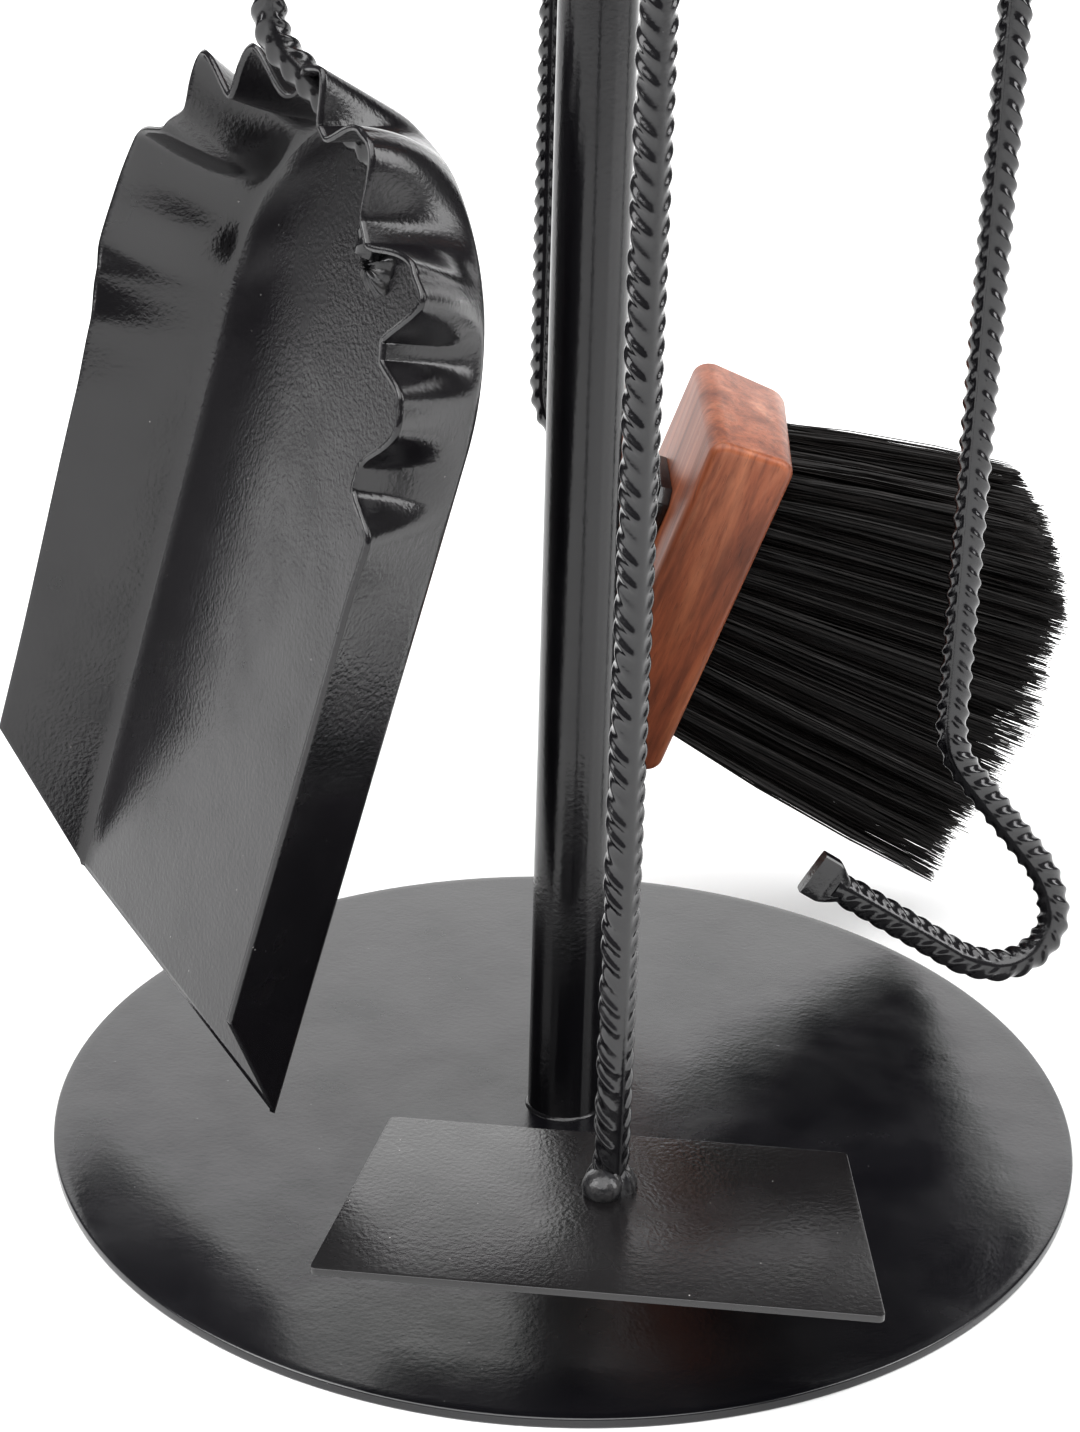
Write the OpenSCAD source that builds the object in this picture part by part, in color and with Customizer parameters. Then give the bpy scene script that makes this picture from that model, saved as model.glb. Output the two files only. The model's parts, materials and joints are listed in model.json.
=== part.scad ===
// Fireplace tool set: a round stand with four hanging tools (poker, brush, shovel and ash rake).
// The origin is the centre of the base plate's underside. +Z is up, +X is the poker's side, -Y is the front.

/* [Stand] */
// Diameter of the round base plate
base_d = 300; // [240:10:360]
// Thickness of the base plate
base_t = 3; // [2:0.5:6]
// Outer diameter of the post tube
post_d = 21.3; // [18:0.1:27]
// Wall thickness of the post tube
post_wall = 2; // [1:0.5:3]
// Height of the post's top end above the floor
post_top = 622; // [600:1:680]
// Diameter of the turned wooden knob on the post
knob_d = 44; // [36:1:60]

/* [Hook arms] */
// Height of the arms' centreline above the floor
arm_z = 590; // [570:1:600]
// Diameter of the arm rod
arm_d = 8; // [6:0.5:10]
// Distance from the post's centre to the bend of each arm
arm_reach = 116; // [113:1:125]
// Angle at which the arm tips rise
tip_rise = 50; // [40:1:60]
// Length of the straight part of each arm tip
tip_len = 22; // [18:1:30]
// Direction of the poker's arm from +X, the other arms follow at right angles
arm_turn = 8; // [0:1:20]

/* [Tools] */
// Diameter of the ribbed bar that the tool shafts are made of
rod_d = 8.6; // [7:0.1:10]
// Diameter of the wire in the hanging rings and eyes
wire_d = 5; // [4:0.5:6]
// Inner radius of the hanging rings
ring_r = 20; // [18:0.5:22]
// Inner radius of the eyes on top of the grips
eye_r = 7; // [6.5:0.5:8]
// Length of the wooden grips
grip_len = 118; // [90:1:125]
// Largest diameter of the wooden grips
grip_d = 27; // [22:1:32]
// Distance from the post's centre to the hanging poker
poker_seat = 112; // [104:1:112]
// Distance from the post's centre to the hanging brush
brush_seat = 105; // [102:1:109]
// Distance from the post's centre to the hanging shovel
shovel_seat = 85; // [82:1:92]
// Distance from the post's centre to the hanging rake
rake_seat = 111; // [102:1:112]

/* [Shovel] */
// Width of the pan's floor
pan_w = 134; // [110:1:150]
// Length of the floor's straight part, from the front edge to where the back turns round
pan_straight = 197; // [160:1:220]
// Sheet thickness of the pan
pan_t = 1.5; // [1:0.5:3]
// Height of the pan's sides, square to the floor
pan_h = 32; // [25:1:40]
// Angle by which the sides lean outwards
pan_flare = 22.6; // [10:0.2:30]
// How far the sides' front corners are cut back
pan_rake = 41; // [20:1:60]
// Lean of the pan away from upright
pan_lean = 14.6; // [10:0.2:18]
// Turn of the pan about its own length
pan_roll = 35; // [20:1:45]

/* [Ash rake] */
// Width of the blade at its far edge, next to the shaft
blade_back_w = 122; // [100:1:140]
// Width of the blade at its working edge
blade_front_w = 141; // [120:1:160]
// Depth of the blade
blade_depth = 71; // [60:1:90]
// Thickness of the blade
blade_t = 2; // [1.5:0.5:4]
// Height of the blade's top face above the floor
blade_z = 41; // [30:1:60]

/* [Brush] */
// Length of the wooden block
block_len = 118; // [90:1:130]
// Thickness of the wooden block
block_t = 27; // [20:1:32]
// Width of the wooden block
block_w = 60; // [40:1:70]
// Tilt of the brush head from upright
brush_tilt = 18; // [10:0.5:30]
// Turn of the brush head about the end of its bar
brush_twist = 10; // [0:1:20]
// Length of the bristles past the block
bristle_len = 110; // [70:1:115]

/* [Hidden] */
// Round shapes are drawn fine enough to look smooth
$fn = 64;
// Gap left between parts that move against each other
gap = 0.4;
// Radial play of a rod in its own seat
seat_play = 0.05;
// Bends of a bar are thicker than its straight parts by this much, and overlap them by the second length
bend_swell = 0.1;
bend_bite = 0.4;

TOOLS = ["poker", "brush", "shovel", "rake"];
SEATS = [poker_seat, brush_seat, shovel_seat, rake_seat];
// Slight lean that each tool takes up when it hangs freely from its ring
HANGS = [0.4, 0, 0, 0.73];

// Heights of the hanging parts, from the arm down
ring_z = arm_z + arm_d / 2 + gap - ring_r;
wire_z = ring_z - ring_r - wire_d / 2;
eye_z = wire_z + wire_d / 2 + gap - eye_r;
cap_t = 3;
cap_z = eye_z - eye_r - wire_d - cap_t;
grip_z = cap_z - grip_len;
ferrule_h = 12;
ferrule_z = grip_z - ferrule_h;
// Diameter of the turned-down shaft end and of the eye's stem inside the grip
tang_d = 6;
// Length of the shaft end inside the grip
tang_len = 70;
stem_len = 30;

// Hook collar on the post
collar_d = 34;
collar_h = 24;
collar_seat_d = 29;
screw_d = 5;
arm_bend_r = 10;
weld_w = 3;

// Knob on the post
plug_h = 18;
stud_d = 8;
washer_t = 2;
knob_z = post_top + washer_t;

// Shovel pan: the front edge's middle in the frame of the whole set
pan_front = [-115.4, -8.6, 42.8];
// Where the bar's end is welded to the pan's floor, from the front edge and from the middle
pan_weld_s = 226;
pan_weld_w = -6;
pan_back_r = pan_w / 2;
wall_out = pan_h * tan(pan_flare);
// Where the bar leaves the vertical, and its legs from there: in over the rim, then down along the floor
shovel_bend_z = 326;
SHOVEL_LEGS = [[ferrule_z - shovel_bend_z, 16, -45], [31.2, 16, 61.9], [13.5]];
// Turn of the bar's bent plane from the post's direction
shovel_bar_turn = -18;

// Poker: where the bar leaves the vertical, its legs from there, and the size of its flattened tip
poker_bend_z = 125;
POKER_LEGS = [[ferrule_z - poker_bend_z, 26, 39], [35, 38, -24], [2, 16, -120], [2, 28, -17], [44]];
poker_tip_size = [14, 5, 13];

// Ash rake: turn of the blade about the shaft, and distance of its far edge behind the shaft
rake_blade_turn = 11.5;
rake_behind = 24;

// Brush
brush_bend_r = 24;
brush_bend_z = 195;
brush_bend_a = 62;
// Distance from the shaft's bend to the block's back face
brush_arm_len = 29.1;
// Length, width and thickness of the steel plate on the block, and how far its middle is below the bar's end
brush_plate = [34, 30, 4];
plate_drop = 11;
BRUSH_LEGS = [[ferrule_z - brush_bend_z, brush_bend_r, brush_bend_a], [brush_arm_len - 2]];
// Place of the block's middle from the bar's end, across and along the block
block_shift = [-3.5, -23];
// Half the distance between the plate's screws
screw_off = 10;

STEEL = "#232325";
BRIGHT = "#8a8a8c";
WOOD = "#8a4a2f";
HAIR = "#151515";

// ---------- helpers ----------

// Turns its children to the side of tool i, so that +X points away from the post
module side(i) rotate([0, 0, arm_turn + 90 * i]) children();

// Puts its children at the place where tool i hangs, leaning about the wire that carries its eye
module at_tool(i) side(i) translate([SEATS[i], 0, wire_z]) rotate([0, HANGS[i], 0]) translate([0, 0, -wire_z])
    children();

// A bent stretch of bar in the XZ plane: it starts at the origin heading down and turns by a towards +X
module bend(r, a, d) {
    rotate([0, 0, a < 0 ? 180 : 0]) translate([r, 0, 0]) rotate([-90, 0, 180])
        rotate_extrude(angle = abs(a)) translate([r, 0]) circle(d = d);
}

// Puts its children at the end of a bend, heading along -Z of the new frame
module after_bend(r, a) {
    translate([sign(a) * r * (1 - cos(a)), 0, -r * sin(abs(a))]) rotate([0, -a, 0]) children();
}

// A bar heading down from the origin through legs of [straight length, bend radius, bend angle]. Its bends
// are a touch thicker than its straight parts, which reach a little way into them
module bar(legs, d, i = 0) {
    above = i > 0 ? bend_bite : 0;
    below = i < len(legs) - 1 ? bend_bite : 0;
    translate([0, 0, -legs[i][0]]) {
        translate([0, 0, -below]) cylinder(d = d, h = legs[i][0] + above + below);
        if (i < len(legs) - 1) {
            bend(legs[i][1], legs[i][2], d + bend_swell);
            after_bend(legs[i][1], legs[i][2]) bar(legs, d, i + 1);
        }
    }
}

// Puts its children at the end of a bar with the given legs, heading along -Z of the new frame
module along(legs, i = 0) {
    translate([0, 0, -legs[i][0]]) {
        if (i < len(legs) - 1) after_bend(legs[i][1], legs[i][2]) along(legs, i + 1) children();
        else children();
    }
}

// The straight top of a tool shaft: a turned-down tang in the grip above the ribbed bar
module shaft_top() {
    translate([0, 0, ferrule_z]) cylinder(d = tang_d, h = ferrule_h + tang_len);
}

// A ring of fillet weld round a rod of diameter d, standing on the XY plane
module weld_ring(d, w) {
    rotate_extrude() polygon([[d / 2, 0], [d / 2 + w, 0], [d / 2 + w * 0.45, w * 0.5], [d / 2, w]]);
}

// ---------- stand ----------

module base_plate() color(STEEL) cylinder(d = base_d, h = base_t, $fn = 180);

module post_foot_weld() color(STEEL) translate([0, 0, base_t]) weld_ring(post_d, weld_w * 0.6);

module post() color(STEEL) translate([0, 0, base_t]) difference() {
    cylinder(d = post_d, h = post_top - base_t);
    translate([0, 0, -1]) cylinder(d = post_d - 2 * post_wall, h = post_top + 2);
}

module hook_collar() color(STEEL) difference() {
    translate([0, 0, arm_z - collar_h / 2]) cylinder(d = collar_d, h = collar_h);
    translate([0, 0, arm_z - collar_h]) cylinder(d = post_d + 2 * seat_play, h = 2 * collar_h);
    for (i = [0:3]) {
        side(i) translate([collar_seat_d / 2, 0, arm_z]) rotate([0, 90, 0])
            cylinder(d = arm_d + 2 * seat_play, h = collar_d);
        if (i % 2 == 0) side(i + 0.5) translate([0, 0, arm_z]) rotate([0, 90, 0])
            cylinder(d = screw_d + 2 * seat_play, h = collar_d);
    }
}

module collar_set_screws() color(BRIGHT) for (i = [0, 2]) side(i + 0.5)
    translate([post_d / 2 + seat_play, 0, arm_z]) rotate([0, 90, 0]) difference() {
        cylinder(d = screw_d, h = (collar_d - post_d) / 2 - 0.5);
        translate([0, 0, 3]) cylinder(d = 2.5, h = collar_d, $fn = 6);
    }

module arm_welds() color(STEEL) for (i = [0:3]) side(i) intersection() {
    translate([collar_d / 2 - 1.2, 0, arm_z]) rotate([0, 90, 0]) weld_ring(arm_d + 2 * seat_play, weld_w + 1);
    translate([0, 0, arm_z - 20]) difference() {
        cylinder(r = 40, h = 40);
        cylinder(d = collar_d, h = 40);
    }
}

module hook_arm(i) color(STEEL) side(i) translate([collar_seat_d / 2, 0, arm_z]) rotate([0, -90, 0])
    bar([[arm_reach - collar_seat_d / 2, arm_bend_r, tip_rise], [tip_len]], arm_d);

module post_plug() color(STEEL) translate([0, 0, post_top - plug_h]) difference() {
    cylinder(d = post_d - 2 * post_wall - 2 * seat_play, h = plug_h);
    translate([0, 0, -1]) cylinder(d = stud_d + 2 * seat_play, h = plug_h + 2);
}

module knob_stud() color(BRIGHT) translate([0, 0, post_top - plug_h]) cylinder(d = stud_d, h = plug_h + 28);

module knob_washer() color(STEEL) translate([0, 0, post_top]) difference() {
    cylinder(d = post_d + 5, h = washer_t);
    translate([0, 0, -1]) cylinder(d = stud_d + 0.4, h = washer_t + 2);
}

module top_knob() color(WOOD) translate([0, 0, knob_z]) difference() {
    rotate_extrude() intersection() {
        translate([0, knob_d * 0.46]) circle(d = knob_d);
        translate([0, 0]) square([knob_d, knob_d]);
    }
    translate([0, 0, -1]) cylinder(d = stud_d + 2 * seat_play, h = 29.5);
}

// ---------- parts that every tool has ----------

module ring(i) color(STEEL) side(i) translate([SEATS[i], 0, ring_z]) rotate([0, 90, 0])
    rotate_extrude() translate([ring_r + wire_d / 2, 0]) circle(d = wire_d);

module eye(i) color(STEEL) at_tool(i) {
    translate([0, 0, eye_z]) rotate([90, 0, 0])
        rotate_extrude() translate([eye_r + wire_d / 2, 0]) circle(d = wire_d);
    translate([0, 0, cap_z - stem_len]) difference() {
        cylinder(d = tang_d, h = stem_len + cap_t + wire_d / 2);
        translate([0, 0, eye_z - cap_z + stem_len]) rotate([90, 0, 0])
            cylinder(r = eye_r, h = 2 * tang_d, center = true);
    }
}

module cap(i) color(STEEL) at_tool(i) translate([0, 0, cap_z]) difference() {
    cylinder(d = grip_d - 6, h = cap_t - 0.5);
    translate([0, 0, -1]) cylinder(d = tang_d + 2 * seat_play, h = cap_t + 2);
}

// Radius of the turned grip at the share u of its length, from its lower to its upper end
function grip_radius(u) = grip_d / 2 - 3.2 * pow(abs(2 * u - 0.9), 2.2);

module grip(i) color(WOOD) at_tool(i) translate([0, 0, grip_z]) difference() {
    rotate_extrude() polygon(concat([[0, 0]], [for (k = [0:14]) [grip_radius(k / 14), grip_len * k / 14]],
        [[0, grip_len]]));
    translate([0, 0, -1]) cylinder(d = tang_d + 2 * seat_play, h = tang_len + 2);
    translate([0, 0, grip_len - stem_len - 1]) cylinder(d = tang_d + 2 * seat_play, h = stem_len + 2);
}

module ferrule(i) color(STEEL) at_tool(i) translate([0, 0, ferrule_z]) difference() {
    cylinder(d1 = rod_d + 6, d2 = grip_d - 9, h = ferrule_h);
    translate([0, 0, -1]) cylinder(d = tang_d + 2 * seat_play, h = ferrule_h + 2);
}

// ---------- poker ----------

// The bar bends out, then back in under itself, and ends in a flattened, square-cut tip
module poker_shaft() color(STEEL) at_tool(0) {
    shaft_top();
    translate([0, 0, ferrule_z]) bar(POKER_LEGS, rod_d);
    translate([0, 0, ferrule_z]) along(POKER_LEGS) translate([0, 0, 1.5 - poker_tip_size[2] / 2])
        cube(poker_tip_size, center = true);
}

// ---------- ash rake ----------

module rake_shaft() color(STEEL) at_tool(3) {
    shaft_top();
    translate([0, 0, blade_z]) cylinder(d = rod_d, h = ferrule_z - blade_z);
}

// A flat plate, wider at its working edge, which faces away from the post
module rake_blade() color(STEEL) at_tool(3) rotate([0, 0, -rake_blade_turn])
    translate([0, 0, blade_z - blade_t]) linear_extrude(blade_t) polygon([
        [-rake_behind, -blade_back_w / 2], [blade_depth - rake_behind, -blade_front_w / 2],
        [blade_depth - rake_behind, blade_front_w / 2], [-rake_behind, blade_back_w / 2]]);

module rake_weld() color(STEEL) at_tool(3) translate([0, 0, blade_z]) rotate_extrude()
    translate([rod_d / 2, 0]) polygon([[0, 0], [3, 0], [2.6, 2.4], [1.2, 5], [0, 6.5]]);

// ---------- brush ----------

// Puts its children on the block's back face at the bar's end: +Z along the block, +X to the bristles
module at_plate() at_tool(1) translate([0, 0, brush_bend_z]) rotate([0, 0, -90])
    after_bend(brush_bend_r, brush_bend_a) translate([0, 0, -brush_arm_len])
    rotate([0, brush_bend_a + brush_tilt, 0]) rotate([brush_twist, 0, 0]) children();

// Puts its children at the middle of the block's back face
module at_block() at_plate() translate([0, block_shift[0], block_shift[1]]) children();

// Puts its children at each of the plate's four screws
module at_screws() for (sy = [-1, 1], sz = [-1, 1])
    translate([0, sy * screw_off, sz * screw_off - plate_drop]) rotate([0, 90, 0]) children();

// The bar's end is cut to lie flat on the plate
module brush_shaft() color(STEEL) {
    at_tool(1) shaft_top();
    difference() {
        at_tool(1) translate([0, 0, ferrule_z]) rotate([0, 0, -90]) bar(BRUSH_LEGS, rod_d);
        at_plate() translate([-brush_plate[2], -15, -15]) cube([12, 30, 30]);
    }
}

// Outline of the brush plate, with its corners cut off
module plate_outline() difference() {
    square([brush_plate[0], brush_plate[1]], center = true);
    for (sx = [-1, 1], sy = [-1, 1]) translate([sx * brush_plate[0] / 2, sy * brush_plate[1] / 2])
        rotate([0, 0, 45]) square(6, center = true);
}

module brush_plate() color(STEEL) at_plate() difference() {
    translate([-brush_plate[2], 0, -plate_drop]) rotate([0, 90, 0]) linear_extrude(brush_plate[2])
        plate_outline();
    at_screws() cylinder(d = 4.2, h = 20, center = true);
}

module brush_screws() color(BRIGHT) at_plate() at_screws() {
    translate([0, 0, -brush_plate[2] - 2]) cylinder(d = 7, h = 2);
    translate([0, 0, -brush_plate[2] - 0.5]) cylinder(d = 3.9, h = brush_plate[2] + 16);
}

// Outline of the block from its back face towards the bristles, with its corners cut off
module block_outline() {
    end = block_len / 2;
    polygon([[0, 3 - end], [3, -end], [block_t - 2, -end], [block_t, 2 - end],
        [block_t, end - 6], [block_t - 6, end], [6, end], [0, end - 6]]);
}

module brush_block() color(WOOD) difference() {
    at_block() rotate([90, 0, 0]) linear_extrude(block_w, center = true) block_outline();
    at_plate() at_screws() translate([0, 0, -1]) cylinder(d = 4, h = 17.5);
}

// The whole tuft as one fan-shaped solid
module brush_bristles() color(HAIR) at_block() rotate([90, 0, 0]) linear_extrude(block_w - 16, center = true)
    translate([block_t, 0]) polygon([
        [0, 13 - block_len / 2], [bristle_len - 4, -block_len / 2 - 13], [bristle_len, 0],
        [bristle_len - 3, 30], [bristle_len - 12, 50], [bristle_len - 28, 61], [0, block_len / 2 - 9]]);

// ---------- shovel ----------

// Puts its children in the pan's frame: X along the floor from the front edge, Y across, Z out of the pan
module at_pan() translate(pan_front) rotate([pan_roll, pan_lean - 90, 0]) children();

// Section of the pan's side, from the floor's edge at the origin outwards and up
module side_section() polygon([[0, 0], [wall_out, pan_h], [wall_out + pan_t, pan_h], [pan_t, 0]]);

module pan_side() rotate([90, 0, 0]) rotate([0, 90, 0]) linear_extrude(pan_straight) side_section();

module shovel_pan() color(STEEL) difference() {
    at_pan() union() {
        translate([0, -pan_w / 2, -pan_t]) cube([pan_straight, pan_w, pan_t]);
        translate([pan_straight, 0, -pan_t]) cylinder(r = pan_back_r, h = pan_t);
        translate([pan_straight, 0, -pan_t]) rotate([0, 0, -90]) rotate_extrude(angle = 180)
            translate([pan_back_r - pan_t, 0]) side_section();
        for (m = [0, 1]) mirror([0, m, 0]) translate([0, pan_w / 2 - pan_t, -pan_t]) pan_side();
    }
    // The rim is notched where the bar passes over it
    shovel_bar(rod_d + 1);
    // The sides' front corners are cut back
    at_pan() rotate([0, atan2(pan_rake, pan_h), 0]) translate([-80, -pan_w, 0]) cube([80, 2 * pan_w, 80]);
}

// The bar: in over the pan's rim, then down along its floor
module shovel_bar(d) at_tool(2) translate([0, 0, ferrule_z]) rotate([0, 0, shovel_bar_turn])
    bar(SHOVEL_LEGS, d);

module shovel_shaft() color(STEEL) {
    at_tool(2) shaft_top();
    shovel_bar(rod_d);
}

module shovel_weld() color(STEEL) difference() {
    at_pan() translate([pan_weld_s, pan_weld_w, 0]) cylinder(d1 = 20, d2 = 13, h = 5);
    shovel_bar(rod_d);
}

base_plate();
post_foot_weld();
post();
hook_collar();
collar_set_screws();
arm_welds();
hook_arm(0);  // hook_arm_poker
hook_arm(1);  // hook_arm_brush
hook_arm(2);  // hook_arm_shovel
hook_arm(3);  // hook_arm_rake
post_plug();
knob_stud();
knob_washer();
top_knob();
ring(0);  // poker_ring
ring(1);  // brush_ring
ring(2);  // shovel_ring
ring(3);  // rake_ring
eye(0);  // poker_eye
eye(1);  // brush_eye
eye(2);  // shovel_eye
eye(3);  // rake_eye
cap(0);  // poker_cap
cap(1);  // brush_cap
cap(2);  // shovel_cap
cap(3);  // rake_cap
grip(0);  // poker_grip
grip(1);  // brush_grip
grip(2);  // shovel_grip
grip(3);  // rake_grip
ferrule(0);  // poker_ferrule
ferrule(1);  // brush_ferrule
ferrule(2);  // shovel_ferrule
ferrule(3);  // rake_ferrule
poker_shaft();
brush_shaft();
shovel_shaft();
rake_shaft();
shovel_pan();
shovel_weld();
rake_blade();
rake_weld();
brush_plate();
brush_screws();
brush_block();
brush_bristles();
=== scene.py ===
"""Looks of the fireplace tool set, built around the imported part."""

import json
import math

import bmesh
import bpy
import numpy as np
from mathutils import Matrix, Vector


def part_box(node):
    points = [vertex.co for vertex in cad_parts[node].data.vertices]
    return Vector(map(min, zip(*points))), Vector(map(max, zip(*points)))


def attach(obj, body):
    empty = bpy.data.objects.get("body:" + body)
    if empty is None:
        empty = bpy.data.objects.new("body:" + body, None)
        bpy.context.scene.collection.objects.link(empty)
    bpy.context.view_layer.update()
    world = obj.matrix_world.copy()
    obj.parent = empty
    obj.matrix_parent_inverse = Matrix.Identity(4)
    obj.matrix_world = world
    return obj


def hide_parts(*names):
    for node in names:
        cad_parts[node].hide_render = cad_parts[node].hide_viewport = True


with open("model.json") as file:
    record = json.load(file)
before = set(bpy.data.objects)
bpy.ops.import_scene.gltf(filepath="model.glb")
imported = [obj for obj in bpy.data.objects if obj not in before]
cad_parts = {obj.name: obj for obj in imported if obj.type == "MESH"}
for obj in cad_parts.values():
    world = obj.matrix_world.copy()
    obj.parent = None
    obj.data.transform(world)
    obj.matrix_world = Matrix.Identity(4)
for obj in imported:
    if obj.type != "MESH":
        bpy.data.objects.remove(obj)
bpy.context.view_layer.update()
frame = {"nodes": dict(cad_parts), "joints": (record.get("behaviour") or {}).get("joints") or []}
MM = 0.001
RNG = np.random.default_rng(7)

# ---------- camera ----------


def turn(axis, angle):
    """A rotation about one axis, as a 3 by 3 matrix."""
    return Matrix.Rotation(angle, 3, axis)


def make_camera(place, pitch, yaw, roll, lens, shift):
    """A camera that looks along +Y, then is rolled, pitched down and turned."""
    data = bpy.data.cameras.new("camera")
    data.lens = lens
    data.sensor_width = 36
    data.shift_y = shift
    data.clip_start = 0.01
    camera = bpy.data.objects.new("camera", data)
    bpy.context.scene.collection.objects.link(camera)
    look = turn("Z", yaw) @ turn("X", -pitch) @ turn("Y", roll) @ turn("X", math.pi / 2)
    camera.matrix_world = Matrix.Translation(Vector(place) * MM) @ look.to_4x4()
    bpy.context.scene.camera = camera


make_camera((12.5, -727, 439), pitch=0.343, yaw=0.0329, roll=-0.0267, lens=70, shift=-0.12)

# ---------- the frame's places, in millimetres ----------

JOINTS = {joint["name"]: joint for joint in frame["joints"]}
# Degrees that each tool leans from the post when it hangs freely
HANGS = {"poker": 0.4, "brush": 0, "shovel": 0, "rake": 0.73}
# Tilt of the brush head from upright
BRUSH_TILT = math.radians(18)


def tool_frame(tool):
    """Turns and moves to where a tool hangs: +X away from the post, Z as in the row, lean about the wire."""
    x, y, z = (value / MM for value in JOINTS[tool + "_swing"]["pos_m"])
    lean = Matrix.Rotation(math.radians(HANGS[tool]), 4, "Y")
    out = Matrix.Rotation(math.atan2(y, x), 4, "Z")
    return Matrix.Translation((x, y, z)) @ out @ lean @ Matrix.Translation((0, 0, -z))


def top_of(node):
    """Height of a CAD node's highest point."""
    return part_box(node)[1].z / MM


def low_of(node):
    """Height of a CAD node's lowest point."""
    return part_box(node)[0].z / MM


BASE_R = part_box("base_plate")[1].x / MM
BASE_T = top_of("base_plate")
POST_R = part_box("post")[1].x / MM
POST_TOP = top_of("post")
FERRULE_Z = low_of("brush_ferrule")
GRIP_Z = low_of("brush_grip")
GRIP_LEN = top_of("brush_grip") - GRIP_Z

# ---------- materials ----------


class Nodes:
    """A short way to write a material's nodes."""

    def __init__(self, name):
        self.material = bpy.data.materials.new(name)
        self.material.use_nodes = True
        self.tree = self.material.node_tree
        self.shader = self.tree.nodes["Principled BSDF"]
        self.coords = self.add("ShaderNodeTexCoord").outputs["Object"]

    def add(self, kind, inputs=None, **settings):
        node = self.tree.nodes.new(kind)
        for key, value in settings.items():
            setattr(node, key, value)
        for key, value in (inputs or {}).items():
            self.set(node.inputs[key], value)
        return node

    def set(self, socket, value):
        if isinstance(value, bpy.types.NodeSocket):
            self.tree.links.new(value, socket)
        else:
            socket.default_value = value

    def stretched(self, scale, turned=(0, 0, 0)):
        """Object coordinates turned and then scaled."""
        spun = self.add("ShaderNodeMapping", {"Vector": self.coords, "Rotation": turned})
        return self.add("ShaderNodeMapping", {"Vector": spun.outputs[0], "Scale": scale}).outputs[0]

    def noise(self, scale, detail=4, rough=0.55, vector=None, warp=0.0):
        values = {"Vector": vector or self.coords, "Scale": scale, "Detail": detail, "Roughness": rough,
                  "Distortion": warp}
        return self.add("ShaderNodeTexNoise", values).outputs["Fac"]

    def ramp(self, value, *stops):
        node = self.add("ShaderNodeValToRGB", {"Fac": value})
        while len(node.color_ramp.elements) < len(stops):
            node.color_ramp.elements.new(0.5)
        for element, (place, colour) in zip(node.color_ramp.elements, stops):
            element.position = place
            element.color = (colour, colour, colour, 1) if isinstance(colour, (int, float)) else (*colour, 1)
        return node.outputs[0]

    def mix(self, fac, one, two, blend="MIX"):
        node = self.add("ShaderNodeMix", data_type="RGBA", blend_type=blend)
        self.set(node.inputs[0], fac)
        self.set(node.inputs[6], one)
        self.set(node.inputs[7], two)
        return node.outputs[2]

    def bump(self, height, strength, distance, below=None):
        values = {"Height": height, "Strength": strength, "Distance": distance}
        if below is not None:
            values["Normal"] = below
        return self.add("ShaderNodeBump", values).outputs[0]

    def finish(self, **sockets):
        for key, value in sockets.items():
            self.set(self.shader.inputs[key.replace("_", " ")], value)
        return self.material


def powder_coat(name, dark, light, rough, dust, peel=0.12, ior=1.65):
    """Black powder coat: an even orange peel, slow changes of tone and a few specks of dust."""
    n = Nodes(name)
    cloud = n.ramp(n.noise(14, 5), (0.3, dark), (0.75, light))
    cell = n.add("ShaderNodeTexVoronoi", {"Vector": n.coords, "Scale": 240.0, "Randomness": 1.0})
    dot = n.ramp(cell.outputs["Distance"], (0.035, 1.0), (0.06, 0.0))
    rare = n.ramp(n.noise(90, 2), (0.54, 0.0), (0.64, 1.0))
    speck = n.mix(1.0, dot, rare, "MULTIPLY")
    colour = n.mix(n.mix(1.0, speck, (dust, dust, dust, 1), "MULTIPLY"), cloud, (0.32, 0.31, 0.3, 1))
    gloss = n.ramp(n.noise(35, 5), (0.35, rough - 0.05), (0.7, rough + 0.07))
    fine = n.bump(n.noise(800, 2, 0.5), peel, 0.0005)
    wave = n.bump(n.noise(60, 3), 0.05, 0.002, fine)
    return n.finish(Base_Color=colour, Roughness=gloss, Normal=wave, IOR=ior)


def stained_wood(name, dark, mid, light, turned, rough):
    """Stained hardwood: long grain along the turned frame's Z, pores, and slow changes of tone."""
    n = Nodes(name)
    along = n.stretched((1, 1, 0.05), turned)
    bands = n.noise(90, 6, 0.6, along, 0.8)
    streaks = n.noise(420, 4, 0.6, n.stretched((1, 1, 0.02), turned))
    patches = n.noise(22, 3)
    grain = n.ramp(bands, (0.3, dark), (0.52, mid), (0.72, light))
    colour = n.mix(0.55, grain, n.ramp(streaks, (0.35, 0.35), (0.6, 1.0)), "MULTIPLY")
    colour = n.mix(0.35, colour, n.ramp(patches, (0.3, 0.55), (0.7, 1.2)), "MULTIPLY")
    pores = n.ramp(n.noise(1300, 3, 0.6, n.stretched((1, 1, 0.03), turned)), (0.3, 0.0), (0.42, 1.0))
    colour = n.mix(0.28, colour, pores, "MULTIPLY")
    gloss = n.ramp(bands, (0.3, rough + 0.08), (0.7, rough - 0.04))
    relief = n.bump(pores, 0.25, 0.0003, n.bump(streaks, 0.12, 0.0003))
    return n.finish(Base_Color=colour, Roughness=gloss, Normal=relief, Coat_Weight=0.15, Coat_Roughness=0.35)


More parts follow.
